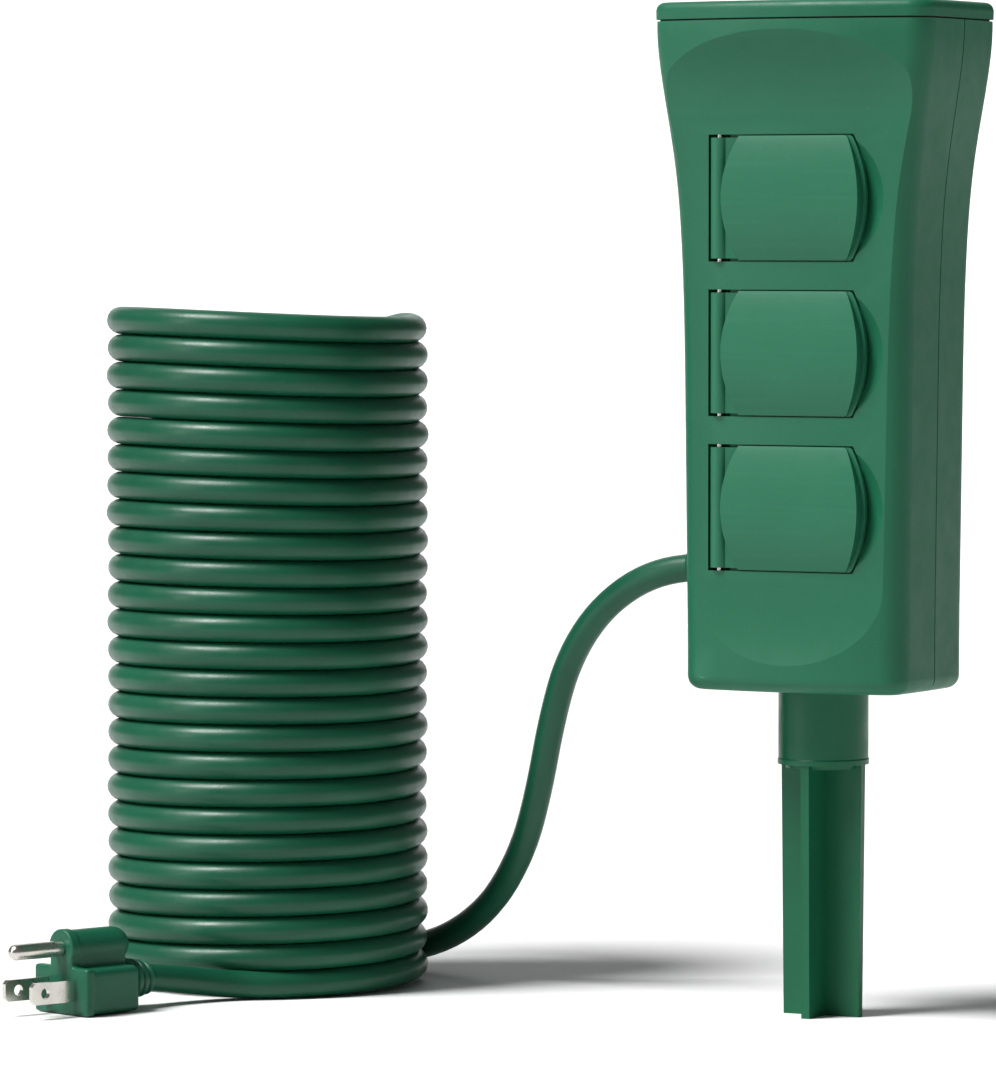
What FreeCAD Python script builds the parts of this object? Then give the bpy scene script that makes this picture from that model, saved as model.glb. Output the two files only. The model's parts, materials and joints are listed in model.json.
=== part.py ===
"""Garden power stake with a long coiled supply cord.

A moulded housing with three spring-flapped outlets on its front and three on its back stands
on a cross-section ground stake. The supply cord leaves the left side through a boot, hangs to
the ground, climbs the back of a tall round coil, winds down it and ends in a grounded plug.

Frame: millimetres, +Z up, origin on the stake's axis at ground level, front outlets facing -Y,
cord leaving towards -X. The stake below Z = 0 is in the soil.
"""
import FreeCAD
import Part
import math
import os

V = FreeCAD.Vector
UP = V(0, 0, 1)
OUT = "parts"
SEVERAL = {"shell_screws": 8, "bus_leads": 6, "plug_blades": 2}   # nodes of several solids

# ---------------------------------------------------------------- driving dimensions
HOUSE_Z = 96.0            # underside of the housing above the ground
SHELL_H = 194.6           # height of the two shells
CAP_GAP = 0.5             # shadow line under the cap
CAP_T = 5.0               # cap plate thickness
WALL = 2.6                # moulded wall thickness
CORNER_R = 8.0            # vertical corner radius of the housing
SIDE_CROWN = 0.8          # how far each side bulges
# height, half width, half depth and front crown of the housing's outline
STATIONS = [
    (0.0, 35.6, 27.4, 4.8),
    (50.0, 35.9, 27.9, 5.1),
    (100.0, 36.5, 28.3, 5.4),
    (135.0, 37.7, 28.9, 5.7),
    (158.0, 40.0, 29.8, 6.0),
    (176.0, 42.8, 31.2, 6.6),
    (194.6, 44.4, 32.2, 7.2),
]
PANEL_Y = 24.2            # outlet panel, distance from the centre plane
PANEL_LOW = 31.0          # panel's flat stretch, heights above the housing's underside
PANEL_HIGH = 166.0
RAMP_LOW_END = 8.2        # where the lower ramp meets the outer surface
RAMP_HIGH_END = 191.5     # where the upper ramp meets it

OUTLET_Z = (53.4, 98.3, 143.2)   # outlet centres above the housing's underside
FLAP_HALF = 18.0          # half height of a flap
FLAP_GAP = 0.4            # gap above and below a flap
SEAT = 1.5                # depth of the flap's seat in the panel
FLAP_BACK = 1.4           # back of the flap below the panel's surface
FLAP_RIM = 0.3            # flap's edge stands this far proud of the panel
DOME_RISE = 3.2           # arch of the flap over its height
FLAP_SKIN = 1.8
FLAP_CORNER_R = 1.6       # the two corners on the free side
HINGE_X = -22.8           # hinge axis, from the centre plane
HINGE_DEPTH = 1.3         # hinge axis below the panel's surface
BARREL_R = 2.6
BARREL_HALF = 17.5
SPRING_POCKET_R = 2.0
SPRING_POCKET_L = 3.1
TROUGH_R = 3.3
PIN_R = 0.8
PIN_CLEAR = 0.06
PIN_HALF = 20.6
SPRING_R = 1.45
SPRING_WIRE = 0.22

WELL_X = (-15.0, 14.5)    # opening in the panel over each outlet
WELL_HALF_H = 13.5
FACE_Y = 19.6             # receptacle face, from the centre plane
CORE_HALF_W = 17.3
CORE_HALF_H = 15.6
CORE_BACK = 1.7           # back of a receptacle, from the centre plane
SLOT_UP = 4.5             # blade slots above the outlet's centre
BLADE_PITCH = 12.7
GROUND_DROP = 11.9        # ground hole below the blade slots
BLADE_H = 6.35
BLADE_T = 1.52
GROUND_R = 2.38
STRIP_W = 5.0
STRIP_T = 0.7
SCREW_X = 28.5
SCREW_Z = (20.0, 75.9, 120.8, 176.0)
SCREW_R = 1.5
SCREW_SEAT_Y = 18.5

COLLAR_R = 13.2
COLLAR_DROP = 22.0        # collar below the housing
SPIGOT_R = 11.0
STAKE_TOP_W = 12.9        # half width of a fin at the collar
STAKE_LOW_W = 11.2        # half width where the point starts
STAKE_T = 2.6
STAKE_POINT_Z = -84.0
STAKE_TIP_Z = -134.0
STAKE_TIP_W = 2.2         # half width of a fin at the tip

CORD_D = 8.2
CORD_R = CORD_D / 2
GLAND_Z = 131.2
BOOT_OUT = -42.8          # outer end of the cord boot
COIL_X = -187.0           # coil axis
COIL_R = 44.7             # centreline radius of the turns
COIL_PITCH = 8.22
COIL_TURNS = 25
COIL_TOP = COIL_PITCH * (COIL_TURNS - 1) + CORD_D

# The cord from the clamp in the housing to the top of the coil, chosen by hand.
LEAD_ROUTE = [
    (-20.0, 0.0, 131.4),
    (-38.5, 0.0, 131.2),
    (-57.2, 0.4, 128.2),
    (-75.0, 4.0, 117.5),
    (-88.5, 9.0, 101.5),
    (-97.0, 14.3, 82.0),
    (-104.0, 19.8, 60.5),
    (-113.5, 27.5, 41.0),
    (-130.0, 37.5, 22.0),
    (-152.0, 46.8, 9.6),
    (-177.0, 55.5, 4.8),
    (-202.0, 61.5, 9.0),
    (-222.5, 65.0, 27.0),
    (-232.0, 64.5, 53.5),
    (-234.0, 62.0, 84.0),
    (-231.0, 62.0, 112.0),
    (-228.0, 65.0, 138.0),
    (-222.5, 67.5, 162.5),
    (-207.4, 64.3, 182.8),
    (-184.2, 52.6, 195.2),
    (-161.4, 36.6, 198.3),
]
# From the foot of the coil to the back of the plug's strain relief, chosen by hand.
TAIL_ROUTE = [
    (-161.4, -36.6, 4.1),
    (-173.0, -46.7, 4.6),
    (-181.7, -59.4, 6.8),
    (-187.0, -73.9, 8.6),
]
PLUG_BACK = V(-187.0, -73.9, 8.6)
PLUG_HEADING = 250.0      # direction that the plug's pins point, degrees from +X
RELIEF_L = 10.0
PLUG_L = 22.0
PLUG_BLADE_Z = 7.6
PLUG_BLADE_L = 16.0
PLUG_GROUND_L = 18.8
PIN_NECK = 0.5            # thinner root of the ground pin outside the plug


# ---------------------------------------------------------------- helpers
def box(x0, x1, y0, y1, z0, z1):
    return Part.makeBox(x1 - x0, y1 - y0, z1 - z0, V(x0, y0, z0))


def rod(r, a, b):
    a, b = V(*a), V(*b)
    return Part.makeCylinder(r, (b - a).Length, a, b - a)


def fused(shapes):
    return shapes[0].multiFuse(shapes[1:]).removeSplitter() if len(shapes) > 1 else shapes[0]


def lathe(profile, axis_point, axis):
    """Solid of revolution from (distance along axis, radius) pairs."""
    pts = [V(r, 0, h) for h, r in profile]
    face = Part.Face(Part.makePolygon(pts + [pts[0]]))
    solid = face.revolve(V(0, 0, 0), UP, 360)
    solid.Placement = FreeCAD.Placement(axis_point, FreeCAD.Rotation(UP, axis))
    return solid


def half_turn(shape):
    """The same shape on the other side of the housing."""
    turned = shape.copy()
    turned.rotate(V(0, 0, 0), UP, 180)
    return turned


def export(name, shape):
    solids = shape.Solids
    whole = solids[0] if len(solids) == 1 else Part.makeCompound(solids)
    assert solids and all(s.isValid() for s in solids), name
    expected = SEVERAL.get(name, 1)
    assert len(solids) == expected, f"{name}: {len(solids)} solids, {expected} expected"
    whole.exportStep(os.path.join(OUT, name + ".step"))
    print(f"{name:24s} {len(solids)} solid(s) {sum(s.Volume for s in solids) / 1000:9.3f} cm3")


def rounded_path(points):
    """Straight runs joined by tangent arcs, as large as the runs allow, and their smallest radius."""
    pts = [V(*p) for p in points]
    edges, start, smallest = [], pts[0], 999.0
    for before, here, after in zip(pts, pts[1:], pts[2:]):
        to_a, to_b = before - here, after - here
        cut = 0.45 * min(to_a.Length, to_b.Length)
        turn = math.pi - to_a.getAngle(to_b)
        radius = cut / math.tan(turn / 2)
        smallest = min(smallest, radius)
        ua, ub = to_a.normalize(), to_b.normalize()
        t0, t1 = here + ua * cut, here + ub * cut
        inward = (ua + ub).normalize()
        middle = here + inward * (radius / math.cos(turn / 2) - radius)
        edges += [Part.LineSegment(start, t0).toShape(), Part.Arc(t0, middle, t1).toShape()]
        start = t1
    edges.append(Part.LineSegment(start, pts[-1]).toShape())
    return Part.Wire(edges), smallest


def tube(points, r, label=None):
    path, smallest = rounded_path(points)
    ring = Part.Wire(Part.makeCircle(r, V(*points[0]), V(*points[1]) - V(*points[0])))
    sweep = Part.BRepOffsetAPI.MakePipeShell(path)
    sweep.setFrenetMode(False)
    sweep.add(ring)
    sweep.build()
    sweep.makeSolid()
    solid = sweep.shape().Solids[0]
    if label:
        expected = math.pi * r * r * path.Length
        print(f"{label}: length {path.Length:.1f}, smallest radius {smallest:.1f},"
              f" volume/expected {solid.Volume / expected:.4f}")
    return solid


# ---------------------------------------------------------------- housing outline
def outline(z, half_w, half_d, crown, inset=0.0):
    """Closed outline with crowned sides and faces and round corners, 8 arcs."""
    a, b = half_w - inset, half_d - inset
    corner = max(CORNER_R - inset, 1.0)
    front_r = (half_w ** 2 + crown ** 2) / (2 * crown) - inset
    side_r = (half_d ** 2 + SIDE_CROWN ** 2) / (2 * SIDE_CROWN) - inset
    # corner circle inside both big circles: centres at (0, b - front_r) and (a - side_r, 0)
    fy, sx = b - front_r, a - side_r
    d = math.hypot(sx, fy)
    rf, rs = front_r - corner, side_r - corner
    along = (rf * rf - rs * rs + d * d) / (2 * d)
    off = math.sqrt(rf * rf - along * along)
    ux, uy = sx / d, -fy / d
    cx, cy = ux * along - uy * off, fy + uy * along + ux * off
    if cx < 0 or cy < 0:
        cx, cy = ux * along + uy * off, fy + uy * along - ux * off

    def push(px, py, qx, qy, r):
        n = math.hypot(qx - px, qy - py)
        return px + (qx - px) / n * r, py + (qy - py) / n * r

    f1 = push(0, fy, cx, cy, front_r)
    s1 = push(sx, 0, cx, cy, side_r)
    m = math.atan2(f1[1] - cy, f1[0] - cx) + math.atan2(s1[1] - cy, s1[0] - cx)
    c1 = (cx + corner * math.cos(m / 2), cy + corner * math.sin(m / 2))

    def arc(p, q, r):
        return Part.Arc(V(p[0], p[1], z), V(q[0], q[1], z), V(r[0], r[1], z)).toShape()

    def flip(p, kx, ky):
        return p[0] * kx, p[1] * ky

    edges = [arc(flip(s1, 1, -1), (a, 0), s1), arc(s1, c1, f1)]
    edges += [arc(f1, (0, b), flip(f1, -1, 1)), arc(flip(f1, -1, 1), flip(c1, -1, 1), flip(s1, -1, 1))]
    edges += [arc(flip(s1, -1, 1), (-a, 0), flip(s1, -1, -1))]
    edges += [arc(flip(s1, -1, -1), flip(c1, -1, -1), flip(f1, -1, -1))]
    edges += [arc(flip(f1, -1, -1), (0, -b), flip(f1, 1, -1))]
    edges += [arc(flip(f1, 1, -1), flip(c1, 1, -1), flip(s1, 1, -1))]
    return Part.Wire(edges)


def housing_loft(inset=0.0, low=0.0):
    """The housing's outer form, or one that lies inset inside it, from low upwards."""
    wires = []
    for z, a, b, c in STATIONS:
        wires.append(outline(max(z, low) if z == 0 else z, a, b, c, inset))
    solid = Part.makeLoft(wires, True, False)
    solid.translate(V(0, 0, HOUSE_Z))
    return solid


def panel_cutter(depth_shift=0.0):
    """What is removed in front of an outlet panel: a flat with an arched ramp at each end."""
    far = 60.0
    y = -(PANEL_Y - depth_shift)

    def ramp_end(z_flat, z_end, half_depth):
        rise = half_depth - PANEL_Y + 0.6
        run = abs(z_end - z_flat) * math.sqrt((rise) / (rise - 0.6))
        sign = 1 if z_end > z_flat else -1
        mid_run = run * 0.5
        r = (run * run + rise * rise) / (2 * rise)
        mid_rise = r - math.sqrt(r * r - mid_run * mid_run)
        return (y - rise, z_flat + sign * run), (y - mid_rise, z_flat + sign * mid_run)

    top_end, top_mid = ramp_end(PANEL_HIGH, RAMP_HIGH_END, 32.05)
    low_end, low_mid = ramp_end(PANEL_LOW, RAMP_LOW_END, 27.5)

    def p(yz):
        return V(0, yz[0], yz[1])

    edges = [
        Part.makeLine(p((-far, low_end[1])), p(low_end)),
        Part.Arc(p(low_end), p(low_mid), p((y, PANEL_LOW))).toShape(),
        Part.makeLine(p((y, PANEL_LOW)), p((y, PANEL_HIGH))),
        Part.Arc(p((y, PANEL_HIGH)), p(top_mid), p(top_end)).toShape(),
        Part.makeLine(p(top_end), p((-far, top_end[1]))),
        Part.makeLine(p((-far, top_end[1])), p((-far, low_end[1]))),
    ]
    face = Part.Face(Part.Wire(edges))
    solid = face.extrude(V(2 * far, 0, 0))
    solid.translate(V(-far, 0, HOUSE_Z))
    return solid


def bowed_face(half, left_mid, left_end, right_mid, right_end):
    """Outline in the XZ plane with bowed left and right edges and straight top and bottom."""
    edges = [
        Part.Arc(V(left_end, 0, -half), V(left_mid, 0, 0), V(left_end, 0, half)).toShape(),
        Part.makeLine(V(left_end, 0, half), V(right_end, 0, half)),
        Part.Arc(V(right_end, 0, half), V(right_mid, 0, 0), V(right_end, 0, -half)).toShape(),
        Part.makeLine(V(right_end, 0, -half), V(left_end, 0, -half)),
    ]
    return Part.Face(Part.Wire(edges))


def bowed_plate(y0, y1, z, *outline_args):
    face = bowed_face(*outline_args)
    face.translate(V(0, y0, z))
    return face.extrude(V(0, y1 - y0, 0))


def soft_corners(plate):
    """A flap plate with the two corners away from the hinge rounded."""
    corners = [e for e in plate.Edges
               if abs(e.tangentAt(e.FirstParameter).y) > 0.99 and e.BoundBox.XMin > 10]
    return plate.makeFillet(FLAP_CORNER_R, corners)


def outlet_cuts(z):
    """What one outlet removes from the panel: flap seat, hinge trough, finger scoop, well, pin."""
    y = -PANEL_Y
    half = FLAP_HALF + FLAP_GAP
    hinge_y = y + HINGE_DEPTH
    seat = bowed_plate(y - 4, y + SEAT, z, half, HINGE_X, HINGE_X + 0.2, 24.8, 20.4)
    trough = rod(TROUGH_R, (HINGE_X, hinge_y, z - half), (HINGE_X, hinge_y, z + half))
    sphere_r, scoop_r, scoop_x = 40.0, 20.2, 9.7
    scoop = Part.makeSphere(sphere_r, V(scoop_x, y - math.sqrt(sphere_r ** 2 - scoop_r ** 2), z))
    scoop = scoop.common(box(18.6, 32, y - 4, y + 8, z - 18.4, z + 18.4))
    well = box(*WELL_X, y - 4, y + 9, z - WELL_HALF_H, z + WELL_HALF_H)
    well = well.makeFillet(2.5, [e for e in well.Edges if abs(e.tangentAt(e.FirstParameter).y) > 0.99])
    pin = rod(PIN_R + 0.02, (HINGE_X, hinge_y, z - PIN_HALF), (HINGE_X, hinge_y, z + PIN_HALF))
    return [seat, trough, scoop, well, pin]


def half_shell():
    """One shell without its screw holes; the rear one is the same turned round."""
    outer = housing_loft()
    rim = [e for e in outer.Edges if e.BoundBox.ZMax < HOUSE_Z + 0.01]
    outer = outer.makeFillet(4.0, rim)
    outer = outer.cut(panel_cutter()).cut(half_turn(panel_cutter()))
    hollow = housing_loft(WALL, WALL)
    hollow = hollow.cut(panel_cutter(WALL)).cut(half_turn(panel_cutter(WALL)))
    front_space = box(-80, 80, -60, 0, HOUSE_Z - 5, HOUSE_Z + SHELL_H + 1)
    limit = outer.common(front_space)
    front = limit.cut(hollow)
    inner = -PANEL_Y + WALL
    added = []
    for z in (HOUSE_Z + h for h in OUTLET_Z):
        added.append(box(-29.0, -18.4, inner - 0.2, inner + 3.4, z - 21, z + 21))
        added.append(box(18.2, 31.0, inner - 0.2, inner + 3.4, z - 18.5, z + 18.5))
    for z in (HOUSE_Z + h for h in SCREW_Z):
        for x in (-SCREW_X, SCREW_X):
            added.append(rod(4.2, (x, inner - 0.6, z), (x, 0, z)))
    added.append(box(-27.0, -21.0, inner - 0.2, -6.1, GLAND_Z - 8, GLAND_Z + 8))
    front = front.fuse(added).common(limit)
    cuts = []
    for z in (HOUSE_Z + h for h in OUTLET_Z):
        cuts += outlet_cuts(z)
        cuts.append(box(-17.6, 17.6, inner, 0.5, z - 15.9, z + 15.9))
    cuts.append(rod(COLLAR_R + 0.05, (0, 0, HOUSE_Z - 5), (0, 0, HOUSE_Z + WALL + 1)))
    groove = box(-80, 80, -0.25, 0.25, HOUSE_Z - 5, HOUSE_Z + SHELL_H + 5).cut(housing_loft(0.7, 0.7))
    cuts.append(groove)
    for one in cuts:
        front = front.cut(one)
    return front


def front_shell(blank):
    shell = blank.cut(rod(6.05, (-45, 0, GLAND_Z), (-25, 0, GLAND_Z)))
    for z in (HOUSE_Z + h for h in SCREW_Z):
        for x in (-SCREW_X, SCREW_X):
            shell = shell.cut(rod(SCREW_R + 0.02, (x, 0.5, z), (x, -13.5, z)))
    return shell


def rear_shell(blank):
    shell = half_turn(blank)
    # the clamp's support rib belongs on the cord's side
    rib = box(20.5, 27.5, 5.5, PANEL_Y - WALL - 0.01, GLAND_Z - 9, GLAND_Z + 9)
    shell = shell.cut(rib)
    shell = shell.cut(rod(6.05, (-45, 0, GLAND_Z), (-25, 0, GLAND_Z)))
    for z in (HOUSE_Z + h for h in SCREW_Z):
        for x in (-SCREW_X, SCREW_X):
            shell = shell.cut(rod(SCREW_R + 0.25, (x, -0.5, z), (x, 30, z)))
            shell = shell.cut(rod(3.15, (x, SCREW_SEAT_Y, z), (x, 40, z)))
    return shell


def shell_screws():
    solids = []
    for z in (HOUSE_Z + h for h in SCREW_Z):
        for x in (-SCREW_X, SCREW_X):
            head = rod(2.9, (x, SCREW_SEAT_Y, z), (x, SCREW_SEAT_Y + 2.2, z))
            head = head.cut(box(x - 2.0, x + 2.0, SCREW_SEAT_Y + 1.2, 30, z - 0.45, z + 0.45))
            head = head.cut(box(x - 0.45, x + 0.45, SCREW_SEAT_Y + 1.2, 30, z - 2.0, z + 2.0))
            solids.append(fused([head, rod(SCREW_R, (x, SCREW_SEAT_Y, z), (x, -12.0, z))]))
    return Part.makeCompound(solids)


def slab(outline_low, outline_high):
    return Part.makeLoft([outline_low, outline_high], True, True)


def cap():
    z0 = SHELL_H + CAP_GAP
    _, a, b, c = STATIONS[-1]
    plate = slab(outline(z0, a + 0.2, b + 0.2, c), outline(z0 + CAP_T, a + 0.3, b + 0.3, c))
    rim = [e for e in plate.Edges if e.BoundBox.ZMin > z0 + CAP_T - 0.01]
    plate = plate.makeFillet(2.6, rim)
    skirt = slab(outline(z0 - 5.0, a, b, c, WALL + 1.1), outline(z0 + 0.2, a, b, c, WALL + 1.1))
    bore = slab(outline(z0 - 6.0, a, b, c, WALL + 3.1), outline(z0 + 1.0, a, b, c, WALL + 3.1))
    whole = plate.fuse(skirt).cut(bore)
    whole.translate(V(0, 0, HOUSE_Z))
    return whole.removeSplitter()


def cap_seal():
    _, a, b, c = STATIONS[-1]
    ring = slab(outline(SHELL_H, a, b, c, 0.9), outline(SHELL_H + CAP_GAP, a, b, c, 0.9))
    hole = slab(outline(SHELL_H - 1, a, b, c, WALL - 0.1), outline(SHELL_H + 2, a, b, c, WALL - 0.1))
    seal = ring.cut(hole)
    seal.translate(V(0, 0, HOUSE_Z))
    return seal


def collar():
    low = HOUSE_Z - COLLAR_DROP
    profile = [(low, 11.03), (low, COLLAR_R + 0.2), (low + 1.4, COLLAR_R + 0.2),
               (low + 1.8, COLLAR_R), (HOUSE_Z + WALL, COLLAR_R), (HOUSE_Z + WALL, 17.0),
               (HOUSE_Z + WALL + 2.4, 17.0), (HOUSE_Z + WALL + 2.4, 11.03)]
    tube_ = lathe(profile, V(0, 0, 0), UP)
    floor = rod(11.2, (0, 0, HOUSE_Z + 1.6), (0, 0, HOUSE_Z + WALL + 2.4))
    return fused([tube_, floor])


def stake():
    top = HOUSE_Z - COLLAR_DROP
    fins = []
    for quarter in (0, 90):
        w, v = STAKE_TOP_W, STAKE_LOW_W
        pts = [V(-w, 0, top - 0.02), V(-v, 0, STAKE_POINT_Z), V(-STAKE_TIP_W, 0, STAKE_TIP_Z),
               V(STAKE_TIP_W, 0, STAKE_TIP_Z),
               V(v, 0, STAKE_POINT_Z), V(w, 0, top - 0.02)]
        face = Part.Face(Part.makePolygon(pts + [pts[0]]))
        face.translate(V(0, -STAKE_T / 2, 0))
        fin = face.extrude(V(0, STAKE_T, 0))
        fin.rotate(V(0, 0, 0), UP, quarter)
        fins.append(fin)
    spigot = rod(SPIGOT_R, (0, 0, top - 1.2), (0, 0, HOUSE_Z + 1.5))
    bored = rod(SPIGOT_R - 3.2, (0, 0, top + 4), (0, 0, HOUSE_Z + 2))
    return fused(fins + [spigot.cut(bored)])


# ---------------------------------------------------------------- outlets
def arch(z, half, y_edge, rise, y_back, x0, x1):
    """Solid between a plane and an arch over the height, along X."""
    edges = [
        Part.Arc(V(x0, y_edge, z - half), V(x0, y_edge - rise, z), V(x0, y_edge, z + half)).toShape(),
        Part.makeLine(V(x0, y_edge, z + half), V(x0, y_back, z + half)),
        Part.makeLine(V(x0, y_back, z + half), V(x0, y_back, z - half)),
        Part.makeLine(V(x0, y_back, z - half), V(x0, y_edge, z - half)),
    ]
    return Part.Face(Part.Wire(edges)).extrude(V(x1 - x0, 0, 0))


def flap(z):
    y = -PANEL_Y
    back = y + FLAP_BACK
    edge = y - FLAP_RIM
    dome = arch(z, FLAP_HALF, edge, DOME_RISE, back, -24, 28)
    dome = dome.common(soft_corners(bowed_plate(y - 12, back + 1, z, FLAP_HALF, -20.3, -16.0, 23.2, 18.3)))
    rim = soft_corners(bowed_plate(y - 0.1, back, z, FLAP_HALF, -20.3, -16.0, 24.4, 19.9))
    bridge = box(HINGE_X, -15.5, y + 0.1, back - 0.15, z - BARREL_HALF, z + BARREL_HALF)
    hinge_y = y + HINGE_DEPTH
    barrel = rod(BARREL_R, (HINGE_X, hinge_y, z - BARREL_HALF), (HINGE_X, hinge_y, z + BARREL_HALF))
    whole = fused([dome, rim, bridge, barrel])
    hollow = arch(z, 13.9, y - 1.4 + FLAP_SKIN - 0.4, 1.9, back + 1, -15.2, 14.8)
    whole = whole.cut(hollow)
    bore = rod(PIN_R + PIN_CLEAR, (HINGE_X, hinge_y, z - 20), (HINGE_X, hinge_y, z + 20))
    pocket = rod(SPRING_POCKET_R, (HINGE_X, hinge_y, z - 20),
                 (HINGE_X, hinge_y, z - BARREL_HALF + SPRING_POCKET_L))
    return whole.cut(bore).cut(pocket).removeSplitter()


def hinge_pin(z):
    hinge_y = -PANEL_Y + HINGE_DEPTH
    return rod(PIN_R, (HINGE_X, hinge_y, z - PIN_HALF), (HINGE_X, hinge_y, z + PIN_HALF))


def hinge_spring(z):
    """Torsion spring in the barrel's lower end, three and a half turns round the pin."""
    hinge_y = -PANEL_Y + HINGE_DEPTH
    low = z - BARREL_HALF + 0.3
    helix = Part.makeHelix(0.55, 1.92, SPRING_R)
    ring = Part.Wire(Part.makeCircle(SPRING_WIRE, V(SPRING_R, 0, 0), V(0, 1, 0.06)))
    sweep = Part.BRepOffsetAPI.MakePipeShell(Part.Wire(helix.Edges))
    sweep.setFrenetMode(True)
    sweep.add(ring)
    sweep.build()
    sweep.makeSolid()
    spring = sweep.shape().Solids[0]
    spring.translate(V(HINGE_X, hinge_y, low))
    return spring


def receptacle(z):
    y_front = -PANEL_Y + WALL
    block = box(-CORE_HALF_W, CORE_HALF_W, y_front, -CORE_BACK, z - CORE_HALF_H, z + CORE_HALF_H)
    face = box(*WELL_X, y_front - 1, -FACE_Y, z - WELL_HALF_H, z + WELL_HALF_H)
    face = face.makeFillet(2.5, [e for e in face.Edges if abs(e.tangentAt(e.FirstParameter).y) > 0.99])
    block = block.cut(face)
    up, down = z + SLOT_UP, z + SLOT_UP - GROUND_DROP
    for x, tall in ((-BLADE_PITCH / 2, 8.4), (BLADE_PITCH / 2, 7.0)):
        block = block.cut(box(x - 1.1, x + 1.1, -FACE_Y - 1, -CORE_BACK + 1, up - tall / 2, up + tall / 2))
        block = block.cut(box(x - 2.6, x + 2.6, -FACE_Y + 2.2, -CORE_BACK + 1, up - 4.4, up + 4.4))
    block = block.cut(rod(GROUND_R + 0.35, (0, -FACE_Y - 1, down), (0, -CORE_BACK + 1, down)))
    block = block.cut(rod(3.7, (0, -FACE_Y + 2.2, down), (0, -CORE_BACK + 1, down)))
    return block


def blade_bus(x):
    """Contact strip for the three blade slots at x, with two spring leaves per outlet."""
    low, high = HOUSE_Z + 30.5, HOUSE_Z + OUTLET_Z[2] + SLOT_UP + 4.0
    parts = [box(x - STRIP_W / 2, x + STRIP_W / 2, -CORE_BACK, -CORE_BACK + STRIP_T, low, high)]
    for z in (HOUSE_Z + h + SLOT_UP for h in OUTLET_Z):
        for side in (-1, 1):
            near, far = 0.7, 1.3
            a, b = sorted((x + side * near, x + side * far))
            parts.append(box(a, b, -15.5, -CORE_BACK + 0.2, z - 3.2, z + 3.2))
    return fused(parts)


def ground_bus():
    low = HOUSE_Z + 30.5
    high = HOUSE_Z + OUTLET_Z[2] + SLOT_UP - GROUND_DROP + 4.0
    parts = [box(-STRIP_W / 2, STRIP_W / 2, -CORE_BACK, -CORE_BACK + STRIP_T, low, high)]
    for z in (HOUSE_Z + h + SLOT_UP - GROUND_DROP for h in OUTLET_Z):
        sleeve = rod(3.2, (0, -14.5, z), (0, -CORE_BACK + 0.2, z))
        sleeve = sleeve.cut(rod(2.55, (0, -16, z), (0, -CORE_BACK, z)))
        parts.append(sleeve.cut(box(-0.5, 0.5, -16, -CORE_BACK - 1.5, z - 4, z)))
    return fused(parts)


def centre_sheet():
    return box(-16.0, 16.0, -0.6, 0.6, HOUSE_Z + 28.0, HOUSE_Z + 160.0)


def bus_leads():
    """Six insulated wires from the cord's end to the feet of the contact strips."""
    wires = []
    for side in (-1, 1):
        for n, x in enumerate((-BLADE_PITCH / 2, 0.0, BLADE_PITCH / 2)):
            level = HOUSE_Z + 26.2 - 3.0 * n
            y = side * (CORE_BACK + 1.1)
            points = [(-19.9, y, GLAND_Z + 2.6 - 2.6 * n), (-15.0 + 1.2 * n, y, level + 0.4),
                      (x - 0.4, y, level), (x, y, HOUSE_Z + 35.5)]
            wires.append(tube(points, 1.08))
    return Part.makeCompound(wires)


# ---------------------------------------------------------------- cord and plug
def cord_boot():
    profile = [(30.9, CORD_R + 0.02), (30.9, 8.0), (32.8, 8.0), (32.8, 6.0), (36.0, 6.0), (36.0, 6.7),
               (-BOOT_OUT - 0.6, 5.5), (-BOOT_OUT, 5.1), (-BOOT_OUT, CORD_R + 0.4), (36.5, CORD_R + 0.02)]
    return lathe(profile, V(0, 0, GLAND_Z), V(-1, 0, 0))


def cord_clamp():
    block = box(-27.0, -21.0, -6.0, 6.0, GLAND_Z - 8, GLAND_Z + 8)
    return block.cut(rod(CORD_R - 0.1, (-30, 0, GLAND_Z + 0.1), (-18, 0, GLAND_Z + 0.1)))


def coil_body():
    ring = rod(COIL_R + CORD_R, (COIL_X, 0, 0.02), (COIL_X, 0, COIL_TOP))
    return ring.cut(rod(COIL_R - CORD_R, (COIL_X, 0, -1), (COIL_X, 0, COIL_TOP + 1)))


def place_plug(shape):
    """From the plug's own axes (+X along its pins, origin at its back) to where it lies."""
    shape.rotate(V(0, 0, 0), UP, PLUG_HEADING)
    shape.translate(V(PLUG_BACK.x, PLUG_BACK.y, 0))
    return shape


def plug_body():
    x0, x1 = RELIEF_L, RELIEF_L + PLUG_L
    low = box(x0, x1, -12.2, 12.2, 0.3, 14.0)
    low = low.makeChamfer(1.6, [e for e in low.Edges if e.BoundBox.XMax < x0 + 0.01
                                or (e.BoundBox.XLength > PLUG_L - 0.1 and e.BoundBox.ZMax > 13)])
    blade_z = PLUG_BLADE_Z
    ground_z = blade_z + GROUND_DROP
    barrel = rod(5.6, (x0 + 4, 0, ground_z), (x1, 0, ground_z))
    nose = Part.makeSphere(5.6, V(x0 + 4, 0, ground_z))
    web = box(x0 + 1.6, x1, -5.6, 5.6, 8, ground_z)
    whole = fused([low, barrel, nose, web])
    for y in (-BLADE_PITCH / 2, BLADE_PITCH / 2):
        whole = whole.cut(box(x1 - 9, x1 + 1, y - BLADE_T / 2, y + BLADE_T / 2,
                              blade_z - BLADE_H / 2, blade_z + BLADE_H / 2))
    whole = whole.cut(rod(GROUND_R - 0.25, (x1 - 9, 0, ground_z), (x1 + 1, 0, ground_z)))
    return place_plug(whole.removeSplitter())


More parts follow.
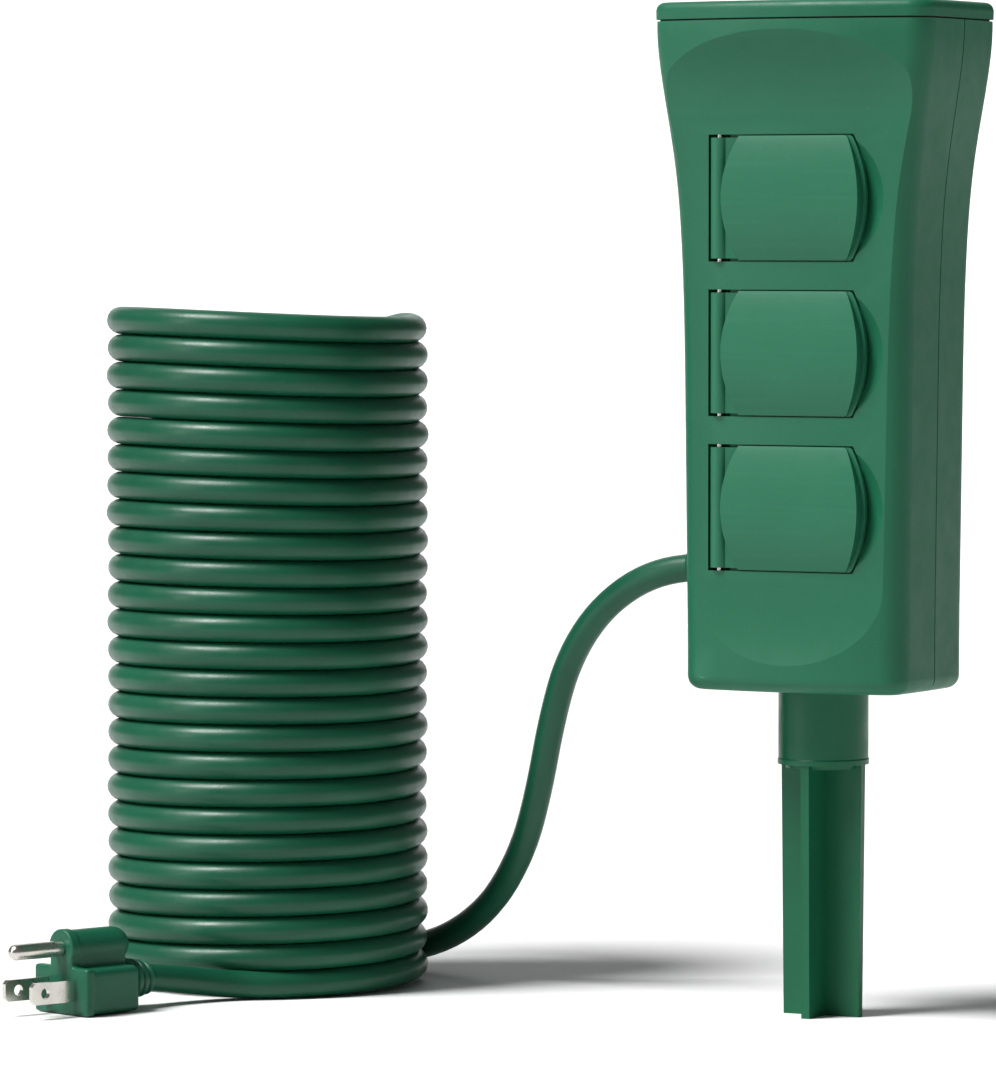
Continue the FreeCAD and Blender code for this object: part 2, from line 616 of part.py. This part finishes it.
def plug_relief():
    profile = [(0.0, CORD_R - 0.3), (0.0, 5.0), (1.6, 5.2), (1.6, 4.6), (3.0, 4.7), (3.0, 5.7), (4.8, 5.9),
               (4.8, 4.9), (6.2, 5.0), (6.2, 6.4), (8.0, 6.6), (8.0, 5.4), (RELIEF_L, 5.8),
               (RELIEF_L, CORD_R - 0.3)]
    return place_plug(lathe(profile, V(0, 0, PLUG_BACK.z), V(1, 0, 0)))


def plug_blades():
    x1 = RELIEF_L + PLUG_L
    blades = []
    for y in (-BLADE_PITCH / 2, BLADE_PITCH / 2):
        z = PLUG_BLADE_Z
        blade = box(x1 - 9, x1 + PLUG_BLADE_L, y - BLADE_T / 2, y + BLADE_T / 2, z - BLADE_H / 2,
                    z + BLADE_H / 2)
        tip = [e for e in blade.Edges
               if e.BoundBox.XMin > x1 + PLUG_BLADE_L - 0.01 and e.BoundBox.YLength > 1]
        blade = blade.makeChamfer(1.1, tip)
        hole = rod(1.6, (x1 + 11.2, y - 2, z), (x1 + 11.2, y + 2, z))
        blades.append(blade.cut(hole))
    return place_plug(Part.makeCompound(blades))


def plug_ground_pin():
    x1, z = RELIEF_L + PLUG_L, PLUG_BLADE_Z + GROUND_DROP
    straight = rod(GROUND_R, (x1 + PIN_NECK, 0, z), (x1 + PLUG_GROUND_L - GROUND_R, 0, z))
    root = rod(GROUND_R - 0.25, (x1 - 9, 0, z), (x1 + PIN_NECK + 0.1, 0, z))
    tip = Part.makeSphere(GROUND_R, V(x1 + PLUG_GROUND_L - GROUND_R, 0, z))
    return place_plug(fused([root, straight, tip]))


def main():
    os.makedirs(OUT, exist_ok=True)
    blank = half_shell()
    export("front_shell", front_shell(blank))
    export("rear_shell", rear_shell(blank))
    export("shell_screws", shell_screws())
    export("cap", cap())
    export("cap_seal", cap_seal())
    export("stake_collar", collar())
    export("stake", stake())
    for n, height in enumerate(OUTLET_Z):
        z = HOUSE_Z + height
        pieces = {"flap": flap(z), "hinge_pin": hinge_pin(z), "hinge_spring": hinge_spring(z),
                  "receptacle": receptacle(z)}
        for name, shape in pieces.items():
            export(f"front_{name}_{n + 1}", shape)
            export(f"rear_{name}_{n + 1}", half_turn(shape))
    for side, turn in (("front", lambda s: s), ("rear", half_turn)):
        export(f"{side}_line_bus", turn(blade_bus(BLADE_PITCH / 2)))
        export(f"{side}_neutral_bus", turn(blade_bus(-BLADE_PITCH / 2)))
        export(f"{side}_ground_bus", turn(ground_bus()))
    export("centre_insulator", centre_sheet())
    export("bus_leads", bus_leads())
    export("cord_boot", cord_boot())
    export("cord_clamp", cord_clamp())
    export("cord_lead", tube(LEAD_ROUTE, CORD_R, "lead"))
    export("cord_coil", coil_body())
    export("cord_tail", tube(TAIL_ROUTE, CORD_R, "tail"))
    export("plug_body", plug_body())
    export("plug_relief", plug_relief())
    export("plug_blades", plug_blades())
    export("plug_ground_pin", plug_ground_pin())


main()
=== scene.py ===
"""Looks for the garden power stake: the cord, the plug, the materials and a plain studio."""
import json
import math
import random

import bmesh
import bpy
from mathutils import Matrix, Vector


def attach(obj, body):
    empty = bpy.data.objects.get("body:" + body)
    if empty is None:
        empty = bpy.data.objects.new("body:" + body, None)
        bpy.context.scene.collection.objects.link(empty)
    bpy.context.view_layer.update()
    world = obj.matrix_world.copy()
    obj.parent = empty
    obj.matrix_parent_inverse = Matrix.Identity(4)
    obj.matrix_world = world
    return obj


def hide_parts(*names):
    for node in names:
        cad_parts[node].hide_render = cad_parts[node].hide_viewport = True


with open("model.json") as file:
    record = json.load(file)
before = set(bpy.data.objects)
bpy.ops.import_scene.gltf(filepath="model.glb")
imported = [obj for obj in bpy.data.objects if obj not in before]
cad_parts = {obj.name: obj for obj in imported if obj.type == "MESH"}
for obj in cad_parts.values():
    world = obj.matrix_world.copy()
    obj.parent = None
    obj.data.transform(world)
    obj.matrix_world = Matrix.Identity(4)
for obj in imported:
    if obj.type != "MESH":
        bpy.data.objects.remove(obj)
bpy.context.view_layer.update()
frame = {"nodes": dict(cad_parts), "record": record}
MM = 0.001
HOUSING = "housing"
random.seed(7)

# ------------------------------------------------------------------ cord sizes, as in the CAD
CORD_D = 8.2
CORD_R = CORD_D / 2
COIL_X = -187.0
COIL_R = 44.7
COIL_PITCH = 8.22
FIRST_ANGLE = -55.0       # where the lowest turn starts, degrees about the coil's axis
TURNS = 24.306            # from there to where the top turn leaves
STEPS = 12                # control points in a turn
LEAN = 3.4                # the top turn stands this much higher at its left
LEAN_ANGLE = 207.7
WOBBLE = 0.2              # how much a turn's radius may differ from the next
SWAY = 0.25               # how far a turn may sit to one side
TUBE_OVERSIZE = 1.014     # the tube's flats lie inside its circle, so it is drawn this much larger

LEAD_ROUTE = [
    (-20.0, 0.0, 131.4),
    (-38.5, 0.0, 131.2),
    (-57.2, 0.4, 128.2),
    (-75.0, 4.0, 117.5),
    (-88.5, 9.0, 101.5),
    (-97.0, 14.3, 82.0),
    (-104.0, 19.8, 60.5),
    (-113.5, 27.5, 41.0),
    (-130.0, 37.5, 22.0),
    (-152.0, 46.8, 9.6),
    (-177.0, 55.5, 4.8),
    (-202.0, 61.5, 9.0),
    (-222.5, 65.0, 27.0),
    (-232.0, 64.5, 53.5),
    (-234.0, 62.0, 84.0),
    (-231.0, 62.0, 112.0),
    (-228.0, 65.0, 138.0),
    (-222.5, 67.5, 162.5),
    (-207.4, 64.3, 182.8),
    (-184.2, 52.6, 195.2),
    (-161.4, 36.6, 198.3),
]
TAIL_ROUTE = [
    (-161.4, -36.6, 4.1),
    (-173.0, -46.7, 4.6),
    (-181.7, -59.4, 6.8),
    (-187.0, -73.9, 8.6),
]
PLUG_BACK = (-187.0, -73.9)
PLUG_AXIS_Z = 8.6
PLUG_HEADING = 250.0
RELIEF_L = 10.0
PLUG_L = 22.0
PLUG_GROUND_Z = 19.5
PLUG_VOXEL = 0.36         # grain of the blended plug

# ------------------------------------------------------------------ studio sizes, in metres
SWEEP_HALF = 12.0         # half width of the floor
SWEEP_BEND = 3.0          # where the floor starts to curve up
SWEEP_R = 2.5
WALL_TOP = 12.0
WALL_X = (-7.0, -0.9)     # the wall stands only where the camera looks
WORLD_LIGHT = 0.12
SUN_LIGHT = 4.5
SUN_SPREAD = 22.0         # degrees across
SUN_BEARING = -40.0       # degrees from the front, negative to the left
SUN_HEIGHT = 58.0         # degrees above the floor
STREAK_AT = (-0.95, -1.15, 0.55)
STREAK_SIZE = (0.16, 0.8)
STREAK_POWER = 3.5
LIGHT_AIM = (-0.08, 0.0, 0.15)
CAMERA_DISTANCE = 2.0
CAMERA_BEARING = 25.0     # degrees from the front
CAMERA_HEIGHT = 0.2314
CAMERA_DOWN = 2.637       # degrees below level
CAMERA_TURN = 27.73       # degrees about the vertical
CAMERA_LENS = 228.0


# ------------------------------------------------------------------ materials
def node(tree, kind, **inputs):
    made = tree.nodes.new(kind)
    for key, value in inputs.items():
        made.inputs[key.replace("_", " ")].default_value = value
    return made


def noise(tree, coords, scale, detail=4.0, rough=0.55):
    tex = node(tree, "ShaderNodeTexNoise", Scale=scale, Detail=detail, Roughness=rough)
    tree.links.new(coords, tex.inputs["Vector"])
    return tex.outputs["Fac"]


def ramp(tree, value, low, high, to_low=0.0, to_high=1.0):
    made = tree.nodes.new("ShaderNodeMapRange")
    for name, number in zip(("From Min", "From Max", "To Min", "To Max"), (low, high, to_low, to_high)):
        made.inputs[name].default_value = number
    tree.links.new(value, made.inputs["Value"])
    return made.outputs["Result"]


def mix(tree, factor, first, second):
    made = tree.nodes.new("ShaderNodeMix")
    made.data_type = "RGBA"
    tree.links.new(factor, made.inputs[0])
    for socket, colour in ((made.inputs[6], first), (made.inputs[7], second)):
        if isinstance(colour, (tuple, list)):
            socket.default_value = (*colour[:3], 1.0)
        else:
            tree.links.new(colour, socket)
    return made.outputs[2]


def scaled(colour, factor):
    return tuple(min(1.0, c * factor) for c in colour[:3])


def plastic(name, base, rough=0.42, grain=1700.0, bump=0.10, mottle=0.05, edge=0.25, sheen=0.32,
            metal=0.0):
    """Moulded plastic or plated metal: cloudy tint, uneven gloss, fine surface grain, paler edges."""
    material = bpy.data.materials.new(name)
    material.use_nodes = True
    tree = material.node_tree
    shader = tree.nodes["Principled BSDF"]
    where = tree.nodes.new("ShaderNodeTexCoord").outputs["Object"]
    cloud = ramp(tree, noise(tree, where, 34.0), 0.3, 0.7)
    colour = mix(tree, cloud, scaled(base, 1.0 - mottle), scaled(base, 1.0 + mottle))
    speck = ramp(tree, noise(tree, where, 900.0, 2.0), 0.62, 0.75, 0.0, 0.35)
    colour = mix(tree, speck, colour, scaled(base, 1.35))
    if edge:
        point = tree.nodes.new("ShaderNodeNewGeometry").outputs["Pointiness"]
        worn = ramp(tree, point, 0.52, 0.62, 0.0, edge)
        pale = tuple(min(1.0, c * 1.5 + 0.03) for c in base[:3])
        colour = mix(tree, worn, colour, pale)
    tree.links.new(colour, shader.inputs["Base Color"])
    gloss = ramp(tree, noise(tree, where, 160.0), 0.3, 0.7, rough - 0.05, rough + 0.07)
    tree.links.new(gloss, shader.inputs["Roughness"])
    fine = node(tree, "ShaderNodeBump", Strength=bump, Distance=0.0003)
    tree.links.new(noise(tree, where, grain, 3.0), fine.inputs["Height"])
    soft = node(tree, "ShaderNodeBump", Strength=bump * 0.8, Distance=0.0006)
    tree.links.new(noise(tree, where, 120.0, 2.0), soft.inputs["Height"])
    tree.links.new(fine.outputs["Normal"], soft.inputs["Normal"])
    tree.links.new(soft.outputs["Normal"], shader.inputs["Normal"])
    shader.inputs["Specular IOR Level"].default_value = sheen
    shader.inputs["Metallic"].default_value = metal
    return material


GREEN = (0.008, 0.112, 0.055)
MATERIALS = {
    "housing_green": plastic("moulded green", GREEN, 0.46),
    "flap_green": plastic("flap green", scaled(GREEN, 1.05), 0.44),
    "stake_green": plastic("stake green", (0.001, 0.095, 0.040), 0.36, bump=0.08),
    "receptacle_green": plastic("receptacle green", (0.006, 0.040, 0.022), 0.5),
    "seal_black": plastic("seal rubber", (0.004, 0.010, 0.007), 0.7, mottle=0.2),
    "screw_steel": plastic("zinc steel", (0.50, 0.50, 0.48), 0.32, metal=1.0, edge=0.15),
    "pin_steel": plastic("bright steel", (0.56, 0.56, 0.55), 0.25, metal=1.0, edge=0.1),
    "contact_brass": plastic("stamped brass", (0.72, 0.50, 0.20), 0.34, metal=1.0, edge=0.15),
    "insulator_white": plastic("insulator", (0.70, 0.69, 0.64), 0.55),
    "lead_black": plastic("lead insulation", (0.012, 0.012, 0.012), 0.4, edge=0.0),
    "jacket_green": plastic("cord jacket", (0.006, 0.078, 0.040), 0.36, grain=1300.0, bump=0.14,
                            mottle=0.14, edge=0.0),
    "plug_green": plastic("plug green", (0.008, 0.098, 0.052), 0.40, bump=0.12),
    "plug_nickel": plastic("nickel plate", (0.66, 0.63, 0.58), 0.24, metal=1.0, bump=0.04, edge=0.1,
                           mottle=0.05),
}
for part in frame["record"]["subparts"]:
    shown = frame["nodes"][part["node"]]
    for holder in shown.material_slots:
        holder.link = "OBJECT"
        holder.material = MATERIALS[part["material_slot"]]


# ------------------------------------------------------------------ cord
def cord_points():
    """Control points from the housing to the plug, in metres."""
    points = [Vector(p) for p in LEAD_ROUTE[:-1]]
    reach = COIL_R / (0.75 + 0.25 * math.cos(2 * math.pi / STEPS))
    count = round(TURNS * STEPS)
    wobble = [random.uniform(-WOBBLE, WOBBLE) for _ in range(count // STEPS + 3)]
    sway = [random.uniform(-SWAY, SWAY) for _ in range(count // STEPS + 3)]
    for k in range(count + 1):
        turn = TURNS * (1 - k / count)
        angle = math.radians(FIRST_ANGLE + 360 * turn)
        n, part = int(turn), turn - int(turn)
        ease = part * part * (3 - 2 * part)
        size = reach + wobble[n] * (1 - ease) + wobble[n + 1] * ease
        side = sway[n] * (1 - ease) + sway[n + 1] * ease
        lean = LEAN * turn / TURNS * math.cos(angle - math.radians(LEAN_ANGLE))
        points.append(Vector((COIL_X + side + size * math.cos(angle), size * math.sin(angle),
                              CORD_R + COIL_PITCH * turn + lean)))
    points += [Vector(p) for p in TAIL_ROUTE[1:]]
    return [p * MM for p in points]


def make_cord():
    data = bpy.data.curves.new("supply_cord", "CURVE")
    data.dimensions = "3D"
    data.resolution_u = 6
    data.bevel_depth = TUBE_OVERSIZE * CORD_R * MM
    data.bevel_resolution = 7
    data.use_fill_caps = True
    spline = data.splines.new("NURBS")
    points = cord_points()
    spline.points.add(len(points) - 1)
    for spot, p in zip(spline.points, points):
        spot.co = (*p, 1.0)
    spline.order_u = 3
    spline.use_endpoint_u = True
    cord = bpy.data.objects.new("supply_cord", data)
    bpy.context.collection.objects.link(cord)
    data.materials.append(MATERIALS["jacket_green"])
    return cord


# ------------------------------------------------------------------ mesh helpers
def add_mesh(name, build, material, smooth=True):
    data = bpy.data.meshes.new(name)
    work = bmesh.new()
    build(work)
    bmesh.ops.recalc_face_normals(work, faces=work.faces)
    work.to_mesh(data)
    work.free()
    for face in data.polygons:
        face.use_smooth = smooth
    made = bpy.data.objects.new(name, data)
    bpy.context.collection.objects.link(made)
    data.materials.append(material)
    return made


def apply_modifiers(made):
    """The object's mesh becomes what its modifiers make of it."""
    result = bpy.data.meshes.new_from_object(made.evaluated_get(bpy.context.evaluated_depsgraph_get()))
    made.modifiers.clear()
    made.data = result
    for face in result.polygons:
        face.use_smooth = True


def lathe(work, profile, sides=48):
    """Closed solid turned about X from (x, radius) pairs in millimetres."""
    rings = []
    for x, r in profile:
        rings.append([work.verts.new((x * MM, r * MM * math.cos(2 * math.pi * k / sides),
                                      r * MM * math.sin(2 * math.pi * k / sides)))
                      for k in range(sides)])
    for a, b in zip(rings, rings[1:]):
        for k in range(sides):
            work.faces.new((a[k], a[(k + 1) % sides], b[(k + 1) % sides], b[k]))
    work.faces.new(rings[0])
    work.faces.new(reversed(rings[-1]))
    return [v for ring in rings for v in ring]


def block(work, low, high, bevel, taper=1.0, segments=4):
    """Box with rounded edges, its far end taper times as wide."""
    size = [(b - a) * MM for a, b in zip(low, high)]
    centre = Vector([(a + b) / 2 * MM for a, b in zip(low, high)])
    made = bmesh.ops.create_cube(work, size=1.0)["verts"]
    for v in made:
        v.co = Vector([c * s for c, s in zip(v.co, size)])
        if v.co.x < 0:
            v.co.y *= taper
        v.co += centre
    edges = list({e for v in made for e in v.link_edges})
    bmesh.ops.bevel(work, geom=edges, offset=bevel * MM, segments=segments, affect="EDGES", profile=0.5)


def place_plug(made, z=0.0):
    """From the plug's own axes (+X along its pins, origin at its back) to where it lies."""
    turn = Matrix.Rotation(math.radians(PLUG_HEADING), 4, "Z")
    made.data.transform(Matrix.Translation(Vector((*PLUG_BACK, z)) * MM) @ turn)
    return made


def plug_shape(work):
    x0, x1 = RELIEF_L, RELIEF_L + PLUG_L
    block(work, (x0, -12.0, 0.4), (x1 - 2.6, 12.0, 13.8), 1.7, taper=0.86)
    block(work, (x1 - 3.4, -12.4, 0.2), (x1 - 0.02, 12.4, 14.2), 0.9)
    barrel = [(x0 + 3.0 - 5.3 * math.cos(a), max(0.05, 5.3 * math.sin(a)))
              for a in (math.radians(10 * k) for k in range(0, 10))]
    barrel += [(x1 - 3.2, 5.3), (x1 - 3.0, 5.7), (x1 - 0.02, 5.7)]
    for v in lathe(work, barrel):
        v.co.z += PLUG_GROUND_Z * MM
    block(work, (x0 + 1.2, -5.2, 8.0), (x1 - 0.02, 5.2, PLUG_GROUND_Z), 0.8)
    for v in lathe(work, [(x0 - 1.0, 5.6), (x0 + 2.5, 6.6), (x0 + 5.0, 6.4)]):
        v.co.z += PLUG_AXIS_Z * MM


def make_plug():
    body = add_mesh("plug_shell", plug_shape, MATERIALS["plug_green"])
    remesh = body.modifiers.new("blend", "REMESH")
    remesh.mode = "VOXEL"
    remesh.voxel_size = PLUG_VOXEL * MM
    smooth = body.modifiers.new("soften", "SMOOTH")
    smooth.factor = 0.6
    smooth.iterations = 5
    apply_modifiers(body)

    def relief(work):
        profile = [(-0.4, CORD_R - 0.3), (-0.2, 4.75), (0.2, 5.0)]
        radius = 5.1
        for x in (1.5, 4.1, 6.7):
            profile += [(x, radius), (x + 0.15, radius - 1.0), (x + 0.75, radius - 1.0),
                        (x + 0.9, radius + 0.25), (x + 1.2, radius + 0.45), (x + 2.3, radius + 0.5)]
            radius += 0.5
        profile += [(RELIEF_L + 0.8, 6.5), (RELIEF_L + 0.9, CORD_R - 0.3)]
        for v in lathe(work, profile):
            v.co.z += PLUG_AXIS_Z * MM

    sleeve = add_mesh("plug_strain_relief", relief, MATERIALS["plug_green"])
    for piece in (body, sleeve):
        place_plug(piece)
        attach(piece, HOUSING)
    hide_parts("plug_body")
    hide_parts("plug_relief")
    return [body, sleeve]


cord = make_cord()
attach(cord, HOUSING)
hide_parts("cord_lead", "cord_coil", "cord_tail")
plug = make_plug()


# ------------------------------------------------------------------ studio
def studio():
    def floor_shape(work):
        """A paper sweep: flat under the object, curving up into a wall far behind it."""
        flat = (-SWEEP_HALF, SWEEP_HALF)
        profile = [(-SWEEP_HALF, 0.0), (SWEEP_BEND, 0.0)]
        profile += [(SWEEP_BEND + SWEEP_R * math.sin(a), SWEEP_R - SWEEP_R * math.cos(a))
                    for a in (math.radians(7.5 * k) for k in range(1, 13))]
        profile.append((SWEEP_BEND + SWEEP_R, WALL_TOP))
        rows = [[work.verts.new((x, y, z)) for x in (flat if y <= SWEEP_BEND else WALL_X)]
                for y, z in profile]
        for (a, b), (c, d) in zip(rows, rows[1:]):
            work.faces.new((a, b, d, c))

    paper = bpy.data.materials.new("floor paper")
    paper.use_nodes = True
    shader = paper.node_tree.nodes["Principled BSDF"]
    where = paper.node_tree.nodes.new("ShaderNodeTexCoord").outputs["Object"]
    tone = mix(paper.node_tree, noise(paper.node_tree, where, 3.0), (0.84, 0.84, 0.84), (0.86, 0.86, 0.86))
    paper.node_tree.links.new(tone, shader.inputs["Base Color"])
    shader.inputs["Roughness"].default_value = 0.9
    floor = add_mesh("floor", floor_shape, paper)

    world = bpy.data.worlds.new("studio")
    world.use_nodes = True
    world.node_tree.nodes["Background"].inputs["Color"].default_value = (1.0, 1.0, 1.0, 1.0)
    world.node_tree.nodes["Background"].inputs["Strength"].default_value = WORLD_LIGHT
    bpy.context.scene.world = world

    strip = bpy.data.lights.new("streak", "AREA")
    strip.shape = "RECTANGLE"
    strip.size, strip.size_y = STREAK_SIZE
    strip.energy = STREAK_POWER
    lamp = bpy.data.objects.new("streak", strip)
    bpy.context.collection.objects.link(lamp)
    lamp.location = STREAK_AT
    lamp.rotation_euler = (Vector(LIGHT_AIM) - Vector(STREAK_AT)).to_track_quat("-Z", "Y").to_euler()

    sun = bpy.data.lights.new("sun", "SUN")
    sun.energy = SUN_LIGHT
    sun.angle = math.radians(SUN_SPREAD)
    high = bpy.data.objects.new("sun", sun)
    bpy.context.collection.objects.link(high)
    bearing, height = math.radians(SUN_BEARING), math.radians(SUN_HEIGHT)
    towards = Vector((math.sin(bearing) * math.cos(height), -math.cos(bearing) * math.cos(height),
                      math.sin(height)))
    high.rotation_euler = (-towards).to_track_quat("-Z", "Y").to_euler()

    lens = bpy.data.cameras.new("camera")
    lens.lens = CAMERA_LENS
    lens.sensor_width = 36.0
    lens.clip_end = 100.0
    view = bpy.data.objects.new("camera", lens)
    bpy.context.collection.objects.link(view)
    swing = math.radians(CAMERA_BEARING)
    view.location = (CAMERA_DISTANCE * math.sin(swing), -CAMERA_DISTANCE * math.cos(swing),
                     CAMERA_HEIGHT)
    view.rotation_euler = (math.radians(90 - CAMERA_DOWN), 0.0, math.radians(CAMERA_TURN))
    bpy.context.scene.camera = view
    bpy.context.scene.view_settings.view_transform = "Standard"


studio()
